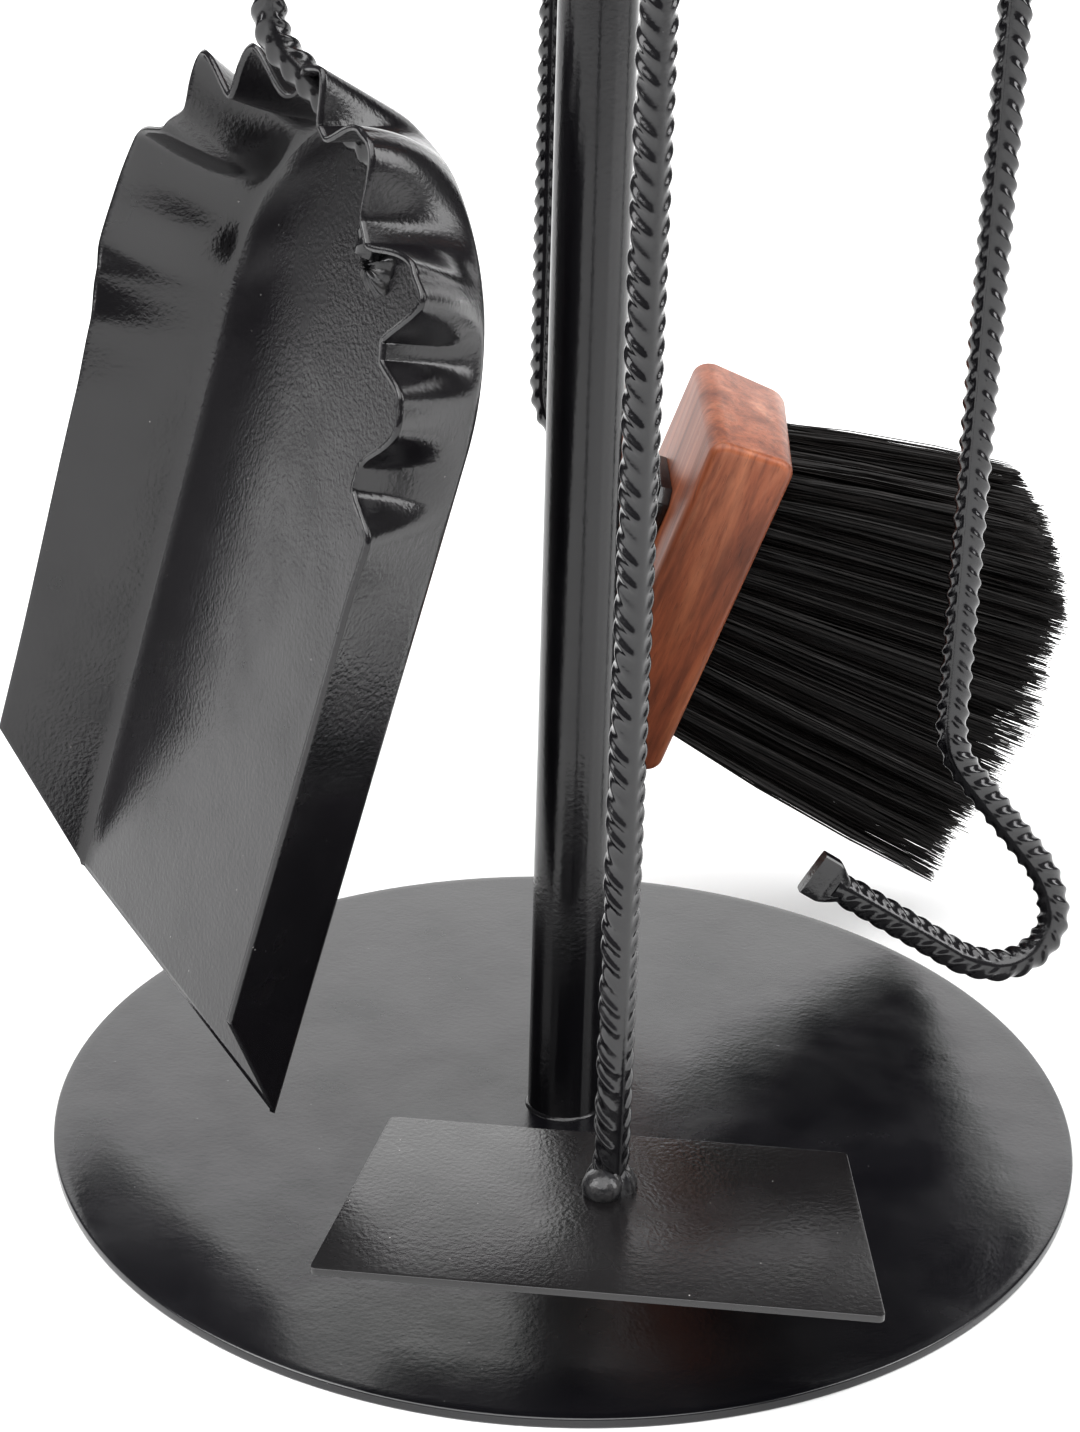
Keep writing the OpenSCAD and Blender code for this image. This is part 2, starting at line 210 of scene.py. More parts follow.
def weld_metal(name):
    """Weld under the coat: lumpy and glossier than the sheet."""
    n = Nodes(name)
    colour = n.ramp(n.noise(300, 4), (0.35, (0.018, 0.018, 0.02)), (0.75, (0.06, 0.058, 0.058)))
    gloss = n.ramp(n.noise(500, 3), (0.3, 0.14), (0.7, 0.3))
    lumps = n.bump(n.noise(420, 3), 0.35, 0.0008)
    return n.finish(Base_Color=colour, Roughness=gloss, Normal=lumps, Metallic=0.15)


def bristle_hair(name):
    """Black bristles with a faint brown cast and lighter worn streaks here and there."""
    n = Nodes(name)
    strands = n.noise(700, 3, 0.6, n.stretched((0.06, 1, 1), (0, -BRUSH_TILT, 0)))
    dark, brown, worn = (0.006, 0.0052, 0.005), (0.014, 0.012, 0.0115), (0.035, 0.03, 0.028)
    colour = n.ramp(strands, (0.35, dark), (0.6, brown), (0.8, worn))
    gloss = n.ramp(n.noise(200, 3), (0.3, 0.42), (0.7, 0.6))
    return n.finish(Base_Color=colour, Roughness=gloss, Specular_IOR_Level=0.3)


def plated_steel(name):
    """Zinc-plated steel with fine scratches."""
    n = Nodes(name)
    scratch = n.noise(900, 3, 0.6, n.stretched((1, 1, 0.1)))
    colour = n.ramp(scratch, (0.3, (0.42, 0.42, 0.44)), (0.7, (0.62, 0.62, 0.63)))
    gloss = n.ramp(scratch, (0.3, 0.25), (0.7, 0.42))
    return n.finish(Base_Color=colour, Roughness=gloss, Metallic=1.0, Normal=n.bump(scratch, 0.1, 0.0002))


def moulded_plastic(name):
    """Plain black moulded plastic."""
    n = Nodes(name)
    colour = n.ramp(n.noise(60, 4), (0.3, 0.02), (0.7, 0.035))
    gloss = n.ramp(n.noise(300, 3), (0.3, 0.45), (0.7, 0.6))
    return n.finish(Base_Color=colour, Roughness=gloss, Normal=n.bump(n.noise(1500, 2), 0.1, 0.0002))


BAR_COAT = powder_coat("bar_coat", (0.005, 0.0048, 0.006), (0.01, 0.0095, 0.011), 0.18, 0.2)
POST_COAT = powder_coat("post_coat", (0.004, 0.0038, 0.0048), (0.008, 0.0075, 0.009), 0.2, 0.2, ior=1.55)
BASE_COAT = powder_coat("base_coat", (0.0045, 0.0043, 0.0058), (0.008, 0.0077, 0.0098), 0.22, 0.25, peel=0.08)
SHEET_COAT = powder_coat("sheet_coat", (0.005, 0.0045, 0.0056), (0.01, 0.009, 0.0108), 0.23, 1.3, peel=0.2,
                         ior=1.62)
BLADE_COAT = powder_coat("blade_coat", (0.006, 0.0055, 0.0062), (0.013, 0.012, 0.0125), 0.26, 1.4, peel=0.2)
WELD = weld_metal("weld_metal")
BLOCK_WOOD = stained_wood("block_wood", (0.16, 0.042, 0.018), (0.31, 0.09, 0.038), (0.45, 0.165, 0.08),
                          (0, -BRUSH_TILT, 0), 0.42)
GRIP_WOOD = stained_wood("grip_wood", (0.14, 0.04, 0.018), (0.28, 0.085, 0.038), (0.4, 0.15, 0.075),
                         (0, 0, 0), 0.36)
HAIR = bristle_hair("bristle_hair")
PLATED = plated_steel("plated_steel")
PLASTIC = moulded_plastic("moulded_plastic")

# ---------- mesh helpers ----------


def piece(name, verts, faces, body, material, replaces=(), place=None, sharp=35):
    """A mesh piece, given in millimetres, that rides on a body and stands for some CAD nodes.

    Its edges stay sharp where they bend by more than sharp degrees."""
    mesh = bpy.data.meshes.new(name)
    mesh.from_pydata([tuple(v) for v in np.asarray(verts, float)], [], [tuple(f) for f in faces])
    mesh.transform(Matrix.Scale(MM, 4) @ (place or Matrix.Identity(4)))
    mesh.validate()
    mesh.shade_smooth()
    mesh.set_sharp_from_angle(angle=math.radians(sharp))
    mesh.materials.append(material)
    made = bpy.data.objects.new(name, mesh)
    bpy.context.scene.collection.objects.link(made)
    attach(made, body)
    if replaces:
        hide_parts(*replaces)
    return made


def grid_faces(rows, columns, closed):
    """Quads of a grid whose points run along each row; closed joins the last column to the first."""
    faces = []
    last = columns if closed else columns - 1
    for i in range(rows - 1):
        for j in range(last):
            k = (j + 1) % columns
            faces.append((i * columns + j, i * columns + k, (i + 1) * columns + k, (i + 1) * columns + j))
    return faces


def capped(rows, sides):
    """Faces of a tube made of closed rows of points, with a flat face at each end."""
    faces = grid_faces(rows, sides, True)
    faces.append(tuple(range(sides))[::-1])
    faces.append(tuple(range((rows - 1) * sides, rows * sides)))
    return faces


def looped(rows, columns):
    """Faces of a grid that closes on itself both ways, as a ring does."""
    faces = grid_faces(rows, columns, True)
    last = (rows - 1) * columns
    return faces + [(last + k, last + (k + 1) % columns, (k + 1) % columns, k) for k in range(columns)]


def lathe(profile, sides=96):
    """A solid of revolution about Z from (radius, height) pairs, flat at its two ends."""
    angles = np.linspace(0, 2 * math.pi, sides, endpoint=False)
    verts = [(r * math.cos(a), r * math.sin(a), z) for r, z in profile for a in angles]
    return verts, capped(len(profile), sides)


def extruded(outline, lift):
    """A bmesh of an outline of 3-D points, carried along by lift."""
    bm = bmesh.new()
    face = bm.faces.new([bm.verts.new(point) for point in outline])
    made = bmesh.ops.extrude_face_region(bm, geom=[face])
    top = [e for e in made["geom"] if isinstance(e, bmesh.types.BMVert)]
    bmesh.ops.translate(bm, verts=top, vec=lift)
    bmesh.ops.recalc_face_normals(bm, faces=bm.faces)
    return bm


def taken_from(bm):
    """The points and faces of a bmesh, which is freed."""
    verts = [tuple(v.co) for v in bm.verts]
    faces = [tuple(v.index for v in f.verts) for f in bm.faces]
    bm.free()
    return verts, faces


def beveled(outline, low, high, bevel):
    """An outline in XY, extruded from low to high, with its edges rounded."""
    bm = extruded([(x, y, low) for x, y in outline], (0, 0, high - low))
    bmesh.ops.bevel(bm, geom=list(bm.edges), offset=bevel, segments=3, profile=0.5, affect="EDGES",
                    clamp_overlap=True)
    bm.verts.ensure_lookup_table()
    return taken_from(bm)


def arc(centre, radius, start, stop, steps):
    """Points of an arc in a plane, with angles in degrees."""
    angles = np.radians(np.linspace(start, stop, steps))
    return [(centre[0] + radius * math.cos(a), centre[1] + radius * math.sin(a)) for a in angles]


BAR_R = 4.0
# Spacing of the rings of points along a bar, and points in each ring
BAR_STEP = 0.45
BAR_SIDES = 52
RIB_PITCH = 5.7
# Half width of a rib and of a smooth strip
RIB_HALF = 1.3
# How far a rib climbs for each radian round the bar, and its height and the strips' height over the bar
RIB_RISE = 3.6
RIB_HIGH = 0.85
STRIP_HIGH = 0.3


def leg_path(legs):
    """Evenly spaced points (x, z) and headings along a bar that starts downwards at its tool's ferrule.

    A leg is a straight length, and then the radius and the degrees of the bend after it."""
    x, z, heading = 0.0, FERRULE_Z, 0.0
    parts = []
    for leg in legs:
        parts.append((leg[0], 0.0))
        if len(leg) > 1:
            angle = math.radians(leg[2])
            parts.append((abs(angle) * leg[1], math.copysign(1 / leg[1], angle)))
    points = [(x, z, heading)]
    for length, curve in parts:
        count = max(1, round(length / BAR_STEP))
        for _ in range(count):
            ds = length / count
            middle = heading + curve * ds / 2
            x += ds * math.sin(middle)
            z -= ds * math.cos(middle)
            heading += curve * ds
            points.append((x, z, heading))
    return np.array(points)


def ribbed_radius(s, phi, fade, phase, skip):
    """Radius of the ribbed bar: smooth strips at 0 and 180 degrees, with slanted crescents between them.

    Where skip is 1 or -1, every third rib is weak on that side of the strips."""
    side = np.abs((phi + math.pi) % (2 * math.pi) - math.pi)
    clear, ease = 0.24, 0.2
    window = np.clip((side - clear) / ease, 0, 1) * np.clip((math.pi - clear - side) / ease, 0, 1)
    crescent = window * (0.55 + 0.45 * np.sin(side))
    row = (s + RIB_RISE * side) / RIB_PITCH + phase
    near = (row % 1.0 - 0.5) * RIB_PITCH
    rib = np.exp(-((near / RIB_HALF) ** 2)) * crescent
    weak = (np.floor(row) % 3 == 2) & (np.sign(np.sin(phi)) == skip)
    rib = np.where(weak, rib * 0.4, rib)
    strip = np.exp(-((np.sin(side) * BAR_R / RIB_HALF) ** 4))
    return BAR_R + fade * (RIB_HIGH * rib + STRIP_HIGH * strip)


def ribbed_bar(path, turned, ends, skip=0, phase=0.0):
    """Mesh of a ribbed bar along a planar path of (x, z, heading).

    turned says where its smooth strips face, and ends over what lengths the ribs fade in and out."""
    steps = np.hypot(np.diff(path[:, 0]), np.diff(path[:, 1]))
    s = np.concatenate([[0], np.cumsum(steps)])
    phi = np.linspace(0, 2 * math.pi, BAR_SIDES, endpoint=False)
    fade = np.clip(s / ends[0], 0, 1) * np.clip((s[-1] - s) / ends[1], 0, 1)
    radius = ribbed_radius(s[:, None], phi[None, :] - turned, fade[:, None], phase, skip)
    across = np.stack([np.cos(path[:, 2]), np.zeros(len(path)), np.sin(path[:, 2])], 1)
    side = np.array([0.0, 1.0, 0.0])
    centre = np.stack([path[:, 0], np.zeros(len(path)), path[:, 1]], 1)
    ring = across[:, None, :] * np.cos(phi)[None, :, None] + side * np.sin(phi)[None, :, None]
    verts = (centre[:, None, :] + ring * radius[:, :, None]).reshape(-1, 3)
    return verts, capped(len(path), BAR_SIDES)


# ---------- stand ----------


def round_plate():
    """The base plate, with slightly rounded edges."""
    edge = 0.7
    profile = [(BASE_R * 0.5, 0)]
    profile += arc((BASE_R - edge, edge), edge, -90, 0, 5)
    profile += arc((BASE_R - edge, BASE_T - edge), edge, 0, 90, 5)
    profile += [(BASE_R * share, BASE_T) for share in (0.98, 0.8, 0.6, 0.4, 0.2, 0.08)]
    verts, faces = lathe(profile, 256)
    piece("round_plate", verts, faces, "stand", BASE_COAT, ["base_plate"])


def post_tube():
    """The post: a tube with a slight seam down its length, open at the top where its plug sits."""
    sides = 128
    wall = 2
    seam_at, seam_half, seam_high = math.radians(-62), 0.7, 0.12
    rows = np.linspace(BASE_T, POST_TOP, 80)
    angles = np.linspace(0, 2 * math.pi, sides, endpoint=False)
    from_seam = ((angles - seam_at + math.pi) % (2 * math.pi) - math.pi) * POST_R
    outer = POST_R + seam_high * np.exp(-(from_seam / seam_half) ** 2)
    inner = POST_R - wall
    verts = [(r * math.cos(a), r * math.sin(a), z) for z in rows for r, a in zip(outer, angles)]
    verts += [(inner * math.cos(a), inner * math.sin(a), z) for z in rows[::-1] for a in angles]
    piece("post_tube", verts, looped(2 * len(rows), sides), "stand", POST_COAT, ["post"])


def lumpy_bead(radius, width, height, sides, seed, lumps):
    """A weld bead round a rod: a ring whose outline and height change a little from place to place."""
    phases = np.random.default_rng(seed).uniform(0, 2 * math.pi, 4)
    # How far the bead reaches into the rod, and into the sheet below
    bite, sink = 0.3, 0.2
    rings = 9
    verts = []
    for j in range(sides):
        a = 2 * math.pi * j / sides
        wobble = sum(math.sin((k + 2) * a + phases[k]) for k in range(4)) / 4
        ripple = math.sin(lumps * a)
        w = width * (1 + 0.22 * wobble + 0.06 * ripple)
        h = height * (1 + 0.2 * wobble + 0.1 * ripple)
        for t in np.linspace(0, 90, rings):
            c, d = math.cos(math.radians(t)), math.sin(math.radians(t))
            r = radius - bite + (w + bite) * c ** 1.3
            verts.append((r * math.cos(a), r * math.sin(a), -sink + (h + sink) * d ** 1.3))
        verts.append(((radius - bite) * math.cos(a), (radius - bite) * math.sin(a), -sink))
    return verts, looped(sides, rings + 1)


def post_weld():
    """The thin weld round the foot of the post."""
    verts, faces = lumpy_bead(POST_R, 0.9, 0.9, 160, 3, 0)
    piece("post_weld", verts, faces, "stand", POST_COAT, ["post_foot_weld"],
          Matrix.Translation((0, 0, BASE_T)))


def turned_knob():
    """The turned wooden ball on the post, flat where it sits on its washer."""
    low, high = low_of("top_knob"), top_of("top_knob")
    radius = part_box("top_knob")[1].x / MM
    seat_r = 9
    ball = arc((0, high - radius), radius, -62, 86, 40)
    verts, faces = lathe([(seat_r, low)] + [(r, z) for r, z in ball if z > low])
    piece("turned_knob", verts, faces, "stand", GRIP_WOOD, ["top_knob"])


# ---------- what every tool has ----------


GRIP_R = 13.5
# Places of the two fine grooves as shares of the grip's length, and their depth and half width
GROOVES = (0.09, 0.91)
GROOVE_DEEP, GROOVE_HALF = 0.6, 0.8


def grip_radius(u):
    """Radius of a grip at a share u of its length, thickest a little below the middle."""
    return GRIP_R - 3.2 * abs(2 * u - 0.9) ** 2.2


def turned_grip(tool):
    """A turned wooden grip with rounded ends and two fine grooves."""
    near_grooves = [place + shift for place in GROOVES for shift in (-0.01, 0, 0.01)]
    profile = [(grip_radius(0) - 2.2, 0.0), (grip_radius(0) - 0.7, 0.35)]
    for u in sorted(list(np.linspace(0.012, 0.988, 70)) + near_grooves):
        shares = [math.exp(-(((u - place) * GRIP_LEN / GROOVE_HALF) ** 2)) for place in GROOVES]
        profile.append((grip_radius(u) - GROOVE_DEEP * sum(shares), u * GRIP_LEN))
    profile += [(grip_radius(1) - 0.7, GRIP_LEN - 0.35), (grip_radius(1) - 2.2, GRIP_LEN)]
    verts, faces = lathe(profile, 64)
    piece(tool + "_turned_grip", verts, faces, tool, GRIP_WOOD, [tool + "_grip"],
          tool_frame(tool) @ Matrix.Translation((0, 0, GRIP_Z)))


# ---------- poker ----------

POKER_BEND_Z = 125
POKER_LEGS = [[FERRULE_Z - POKER_BEND_Z, 26, 39], [35, 38, -24], [2, 16, -120], [2, 28, -17], [44]]
# Width, thickness and length of the hammered tip, how far back from the bar's end it starts to form, and
# the length over which it forms
TIP_WIDE, TIP_THICK, TIP_LEN, TIP_BACK, TIP_EASE = 14, 4.4, 8, 4, 7
TIP_ROWS, TIP_SIDES = 26, 40


def flattened_tip(path):
    """The poker's hammered tip: it swells from the round bar into a flat blade, cut square."""
    end_x, end_z, heading = path[-1]
    forward = np.array([math.sin(heading), 0, -math.cos(heading)])
    across = np.array([math.cos(heading), 0, math.sin(heading)])
    side = np.array([0.0, 1.0, 0.0])
    verts = []
    for t in np.linspace(-TIP_BACK, TIP_LEN, TIP_ROWS):
        k = min(1, max(0, (t + TIP_BACK) / TIP_EASE))
        k = k * k * (3 - 2 * k)
        wide = BAR_R + (TIP_WIDE / 2 - BAR_R) * k
        thick = BAR_R + (TIP_THICK / 2 - BAR_R) * k
        square = 2 + 7 * k
        middle = np.array([end_x, 0, end_z]) + forward * t
        for j in range(TIP_SIDES):
            a = 2 * math.pi * j / TIP_SIDES
            c, d = math.cos(a), math.sin(a)
            swell = (abs(c) ** square + abs(d) ** square) ** (-1 / square)
            verts.append(middle + across * wide * c * swell + side * thick * d * swell)
    return verts, capped(TIP_ROWS, TIP_SIDES)


def poker():
    """The hooked bar with its flattened tip, as one piece."""
    place = tool_frame("poker")
    path = leg_path(POKER_LEGS)
    verts, faces = ribbed_bar(path, math.radians(62), (3, 5), phase=0.3)
    tip_verts, tip_faces = flattened_tip(path)
    faces = list(faces) + [tuple(i + len(verts) for i in f) for f in tip_faces]
    verts = list(verts) + list(tip_verts)
    piece("poker_bar", verts, faces, "poker", BAR_COAT, ["poker_shaft"], place)


# ---------- ash rake ----------

RAKE_WELD_H = 6.5
BLADE_TOP = top_of("rake_weld") - RAKE_WELD_H
# Width at the far and at the working edge, depth, distance of the far edge behind the bar, and thickness
BLADE_FAR, BLADE_NEAR, BLADE_DEPTH, BLADE_BEHIND, BLADE_T = 122, 141, 71, 24, 2
BLADE_TURN = math.radians(-11.5)


def rounded_outline(corners, radius, steps=5):
    """A polygon in order, with each corner rounded."""
    points = []
    count = len(corners)
    for i, corner in enumerate(corners):
        here = Vector(corner)
        before = (Vector(corners[i - 1]) - here).normalized()
        after = (Vector(corners[(i + 1) % count]) - here).normalized()
        half = before.angle(after) / 2
        reach = radius / math.tan(half)
        middle = here + (before + after).normalized() * (radius / math.sin(half))
        start = here + before * reach - middle
        stop = here + after * reach - middle
        swing = start.angle_signed(stop)
        for k in range(steps + 1):
            a = -swing * k / steps
            points.append((middle.x + start.x * math.cos(a) - start.y * math.sin(a),
                           middle.y + start.x * math.sin(a) + start.y * math.cos(a)))
    return points


def rake():
    """The straight bar, the blade, the bead that joins them and a drop of weld on the bead's side."""
    place = tool_frame("rake")
    verts, faces = ribbed_bar(leg_path([[FERRULE_Z - BLADE_TOP]]), math.radians(20), (3, 4), skip=-1)
    piece("rake_bar", verts, faces, "rake", BAR_COAT, ["rake_shaft"], place)
    near, far = BLADE_DEPTH - BLADE_BEHIND, -BLADE_BEHIND
    corners = [(far, -BLADE_FAR / 2), (near, -BLADE_NEAR / 2), (near, BLADE_NEAR / 2), (far, BLADE_FAR / 2)]
    verts, faces = beveled(rounded_outline(corners, 1.6), BLADE_TOP - BLADE_T, BLADE_TOP, 0.35)
    piece("rake_sheet", verts, faces, "rake", BLADE_COAT, ["rake_blade"],
          place @ Matrix.Rotation(BLADE_TURN, 4, "Z"), sharp=25)
    verts, faces = lumpy_bead(4.2, 2.6, 5.4, 96, 11, 9)
    piece("rake_bead", verts, faces, "rake", WELD, ["rake_weld"],
          place @ Matrix.Translation((0, 0, BLADE_TOP)))
    verts, faces = lathe([(5.4 * math.cos(t), 4.8 * math.sin(t)) for t in np.linspace(-1.45, 1.45, 24)], 48)
    piece("rake_drop", verts, faces, "rake", WELD, [],
          place @ Matrix.Translation((3.2, -2.4, BLADE_TOP + 1.6)))


# ---------- brush ----------

# The bar's bend: height, radius and degrees, and the straight length from it to the plate's face
BRUSH_BEND_Z, BRUSH_BEND_R, BRUSH_BEND, BRUSH_ARM = 195, 24, 62, 29.1
BRUSH_LEGS = [[FERRULE_Z - BRUSH_BEND_Z, BRUSH_BEND_R, BRUSH_BEND], [BRUSH_ARM - 3.6]]
BRUSH_TWIST = math.radians(10)
# The bar's bent plane is turned this much from the tool's +X
BRUSH_TURN = math.radians(-90)
# Steel plate: half length and width, the cut of its corners, thickness, and how far it sits below the bar
PLATE_HALF_L, PLATE_HALF_W, PLATE_CUT, PLATE_T, PLATE_DROP = 17, 15, 4, 4, 11
# Thickness, width and length of the block, and its shift from the plate's middle across and along
BLOCK_SIZE = (27, 60, 118)
BLOCK_SHIFT = (-3.5, -23)
# Outline of the tuft's tips: place along the block, and reach from its face
TIPS_Z = (-72, 0, 30, 50, 61)
TIPS_REACH = (105, 109, 106, 97, 82)


def plate_frame():
    """The brush plate's face on the block: +Z along the block, +X to the bristles."""
    bend = math.radians(BRUSH_BEND)
    end = Matrix.Translation((BRUSH_BEND_R * (1 - math.cos(bend)), 0, -BRUSH_BEND_R * math.sin(bend)))
    at_bend = tool_frame("brush") @ Matrix.Translation((0, 0, BRUSH_BEND_Z))
    turned = at_bend @ Matrix.Rotation(BRUSH_TURN, 4, "Z")
    at_end = turned @ end @ Matrix.Rotation(-bend, 4, "Y") @ Matrix.Translation((0, 0, -BRUSH_ARM))
    return at_end @ Matrix.Rotation(bend + BRUSH_TILT, 4, "Y") @ Matrix.Rotation(BRUSH_TWIST, 4, "X")


def block_mesh():
    """The block, with its corners and edges rounded, thicker on one side and with one corner worn down."""
    thick, wide, long = BLOCK_SIZE
    corners = [(0, -long / 2), (thick, -long / 2), (thick, long / 2), (0, long / 2)]
    bm = extruded([(x, -wide / 2, z) for x, z in rounded_outline(corners, 5, 7)], (0, wide, 0))
    rims = [e for e in bm.edges if abs(e.verts[0].co.y - e.verts[1].co.y) < 1e-6]
    bmesh.ops.bevel(bm, geom=rims, offset=2.6, segments=5, profile=0.5, affect="EDGES")
    for v in bm.verts:
        far = 0.5 + v.co.y / wide
        v.co.x += 6 * far * (v.co.x / thick)
        corner = max(0.0, v.co.x / thick - 0.45) * max(0.0, v.co.z / long * 2 - 0.5) * max(0.0, far - 0.35)
        v.co.z -= 14 * corner
    return taken_from(bm)


def strand(root, tip, bow, width, turned):
    """A bristle: a thin three-sided strand from root to tip, bowed and tapered."""
    angles = [2 * math.pi * k / 3 + turned for k in range(3)]
    ring = [(math.cos(a), math.sin(a)) for a in angles]
    verts = []
    for t in (0.0, 0.35, 0.7, 1.0):
        middle = root + (tip - root) * t + bow * (4 * t * (1 - t))
        w = width * (1.0 if t < 0.9 else 0.5)
        verts += [(middle[0], middle[1] + w * c, middle[2] + w * d) for c, d in ring]
    sides = []
    for row in (0, 3, 6):
        for k in range(3):
            after = (k + 1) % 3
            sides.append((row + k, row + after, row + 3 + after, row + 3 + k))
    return verts, sides + [(2, 1, 0), (9, 10, 11)]


def bristle_mesh():
    """Separate bristles in tufts, which fan out, bow a little and end unevenly."""
    thick, wide, long = BLOCK_SIZE
    verts, faces = [], []
    rows, columns, per_tuft, tuft_r, strand_r = 5, 11, 120, 4.2, 0.27
    low, high = 13 - long / 2, long / 2 - 9
    for i in range(rows):
        for j in range(columns):
            across = (i / (rows - 1) - 0.5) * (wide - 22)
            u = (j + 0.5) / columns
            stagger = (i % 2 - 0.5) * 0.5 / columns
            lean = RNG.normal(0, 1.3, 2)
            trim = RNG.normal(0, 1.4)
            for _ in range(per_tuft):
                r = tuft_r * math.sqrt(RNG.random())
                a = RNG.uniform(0, 2 * math.pi)
                place = u + stagger + r * math.sin(a) * 1.35 / (high - low)
                share = min(1.0, max(0.0, place))
                root_z = low + share * (high - low)
                tip_z = TIPS_Z[0] + share * (TIPS_Z[-1] - TIPS_Z[0]) + lean[0] + RNG.normal(0, 1.1)
                tip_z = min(TIPS_Z[-1] + 1, max(TIPS_Z[0], tip_z))
                root_y = across + r * math.cos(a)
                tip_y = root_y * 1.12 + lean[1] + RNG.normal(0, 1.0)
                reach = np.interp(tip_z, TIPS_Z, TIPS_REACH) + trim - abs(RNG.normal(0, 2.4))
                root = np.array([thick - 2.0, root_y, root_z])
                tip = np.array([thick + reach, tip_y, tip_z])
                bow = np.array([0, RNG.normal(0, 0.8), RNG.normal(0, 0.7) + 2.0 * (share - 0.5)])
                points, quads = strand(root, tip, bow, strand_r * RNG.uniform(0.75, 1.15), a)
                faces += [tuple(k + len(verts) for k in quad) for quad in quads]
                verts += points
    return verts, faces


def brush():
    """The bar, the block, the bristles, the steel plate and the bead that joins it to the bar."""
    verts, faces = ribbed_bar(leg_path(BRUSH_LEGS), math.radians(69), (3, 2))
    piece("brush_bar", verts, faces, "brush", BAR_COAT, ["brush_shaft"],
          tool_frame("brush") @ Matrix.Rotation(BRUSH_TURN, 4, "Z"))
    on_plate = plate_frame()
    on_block = on_plate @ Matrix.Translation((0, *BLOCK_SHIFT))
    verts, faces = block_mesh()
    piece("brush_wood", verts, faces, "brush", BLOCK_WOOD, ["brush_block"], on_block)
    verts, faces = bristle_mesh()
    piece("brush_hair", verts, faces, "brush", HAIR, ["brush_bristles"], on_block)
    long, wide, cut = PLATE_HALF_L, PLATE_HALF_W, PLATE_CUT
    outline = [(-long, -wide + cut), (-long + cut, -wide), (long - cut, -wide), (long, -wide + cut),
               (long, wide - cut), (long - cut, wide), (-long + cut, wide), (-long, wide - cut)]
    verts, faces = beveled(outline, -PLATE_T, 0, 0.4)
    dropped = on_plate @ Matrix.Translation((0, 0, -PLATE_DROP))
    piece("brush_steel_plate", verts, faces, "brush", BAR_COAT, ["brush_plate"],
          dropped @ Matrix.Rotation(math.radians(90), 4, "Y"), sharp=25)
    verts, faces = lumpy_bead(4.2, 2.4, 2.6, 72, 5, 8)
    piece("brush_bead", verts, faces, "brush", WELD, [],
          on_plate @ Matrix.Translation((-PLATE_T, 0, 0)) @ Matrix.Rotation(math.radians(-90), 4, "Y"))


# ---------- shovel ----------

SHOVEL_BEND_Z = 326
SHOVEL_LEGS = [[FERRULE_Z - SHOVEL_BEND_Z, 16, -45], [31.2, 16, 61.9], [13.5]]
# Turn of the bar's bent plane from the tool's +X
SHOVEL_TURN = math.radians(-18)
# Middle of the pan's front edge, the pan's lean from upright and its turn about its own length
PAN_FRONT = (-115.4, -8.6, 42.8)
PAN_LEAN, PAN_ROLL = math.radians(14.6), math.radians(35)
# Width of the floor, its straight length, sheet thickness, height of the sides and the cut of their corners
PAN_W, PAN_STRAIGHT, PAN_T, PAN_H, PAN_RAKE = 134, 197, 1.5, 32, 41
# How far the rim stands out from the floor's edge where the side isn't crimped
PAN_OUT = 13.3
# Place of the weld on the floor, from the front edge and from the middle
PAN_WELD = (225, -5.5)
# Millimetres of straight side that count as one degree round the back
PER_DEGREE = 1.2
# Rim of the crimped back: place round the back in degrees (0 is the rear, minus is the front side of the
# set), and how far the rim stands out from the floor's edge there
RIM = [(-200, 13), (-120, 13), (-105, 14), (-98, 1), (-93, 1), (-81, 14), (-77, 13), (-70, 2), (-66, 2),
       (-60, 20), (-55, 17), (-44, -3), (-39, -3), (-27, 10), (-23, 9), (-12, -3), (-8, -2), (-3, 11), (4, 9),
       (11, 3), (17, 0), (25, 13), (34, 2), (43, 19), (53, 9), (61, 12), (70, 22), (82, 22), (93, 23),
       (100, 20.5), (112, 17), (130, 15.5), (200, 13)]
# Dents between the pleats: place round the back, half width in degrees, and depth at mid height
DENTS = [(84, 7, 3.5), (58, 8, 4), (36, 6, 3), (-69, 5, 2), (-41, 6, 2), (-10, 5, 2), (-58, 6, -2.5),
         (-26, 7, -3)]
# Notch in the rim where the bar passes: place and half width in degrees, and depth
NOTCH_AT, NOTCH_HALF, NOTCH_DEEP = 14, 7, 7


def rim_out(angle):
    """How far the rim stands out at a place round the back, eased between the named places."""
    for (a, one), (b, two) in zip(RIM, RIM[1:]):
        if a <= angle <= b:
            t = (angle - a) / (b - a)
            t = t * t * (3 - 2 * t)
            return one + (two - one) * t
    return RIM[0][1]


def pan_columns(half):
    """Places round the floor's edge.

    Each is a point, the direction outwards, degrees round the back, and distance from the front edge."""
    straight = np.concatenate([np.linspace(0, PAN_RAKE, 26), np.linspace(PAN_RAKE, PAN_STRAIGHT, 90)[1:]])
    columns = [((s, -half), (0, -1), -90 - (PAN_STRAIGHT - s) / PER_DEGREE, s) for s in straight]
    for a in np.linspace(-90, 90, 441)[1:-1]:
        c, d = math.cos(math.radians(a)), math.sin(math.radians(a))
        columns.append(((PAN_STRAIGHT + half * c, half * d), (c, d), a, PAN_STRAIGHT))
    return columns + [((s, half), (0, 1), 90 + (PAN_STRAIGHT - s) / PER_DEGREE, s) for s in straight[::-1]]


